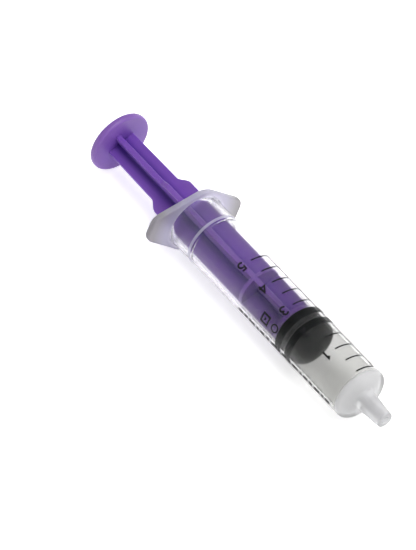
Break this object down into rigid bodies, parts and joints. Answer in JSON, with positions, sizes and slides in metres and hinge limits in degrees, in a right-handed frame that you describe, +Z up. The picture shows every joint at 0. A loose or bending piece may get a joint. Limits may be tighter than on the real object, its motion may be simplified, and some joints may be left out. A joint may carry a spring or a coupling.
{
  "type": "oral syringe",
  "caption": "Oral syringe for liquid medicine: clear barrel with lozenge finger flange and tapered nozzle, black rubber stopper, purple plunger rod of crossed ribs with a round thumb disc.",
  "frame": {"origin": "on the surface that the syringe rests on, straight below the barrel's axis, in the middle of the finger flange's thickness along X and below the middle of the overall box", "axes": "+X along the barrel's axis towards the nozzle, +Z up, +Y to the left of someone who looks along +X"},
  "size_m": [0.1055, 0.0272, 0.0172],
  "materials": {
    "clear_polypropylene": "milky see-through moulding, glossy",
    "black_rubber": "satin moulded rubber",
    "purple_polypropylene": "soft satin moulding"
  },
  "bodies": {
    "barrel": {"barrel": "clear_polypropylene"},
    "stopper": {"stopper": "black_rubber"},
    "plunger": {"plunger_rod": "purple_polypropylene"}
  },
  "joints": [
    {"name": "plunger_travel", "type": "slide", "parent": "barrel", "child": "stopper", "axis": [1, 0, 0], "range_m": [-0.031, 0.0164]},
    {"name": "rod_turn", "type": "hinge", "parent": "stopper", "child": "plunger", "pos_m": [0.04727, 0, 0.00862], "axis": [1, 0, 0], "continuous": true}
  ]
}
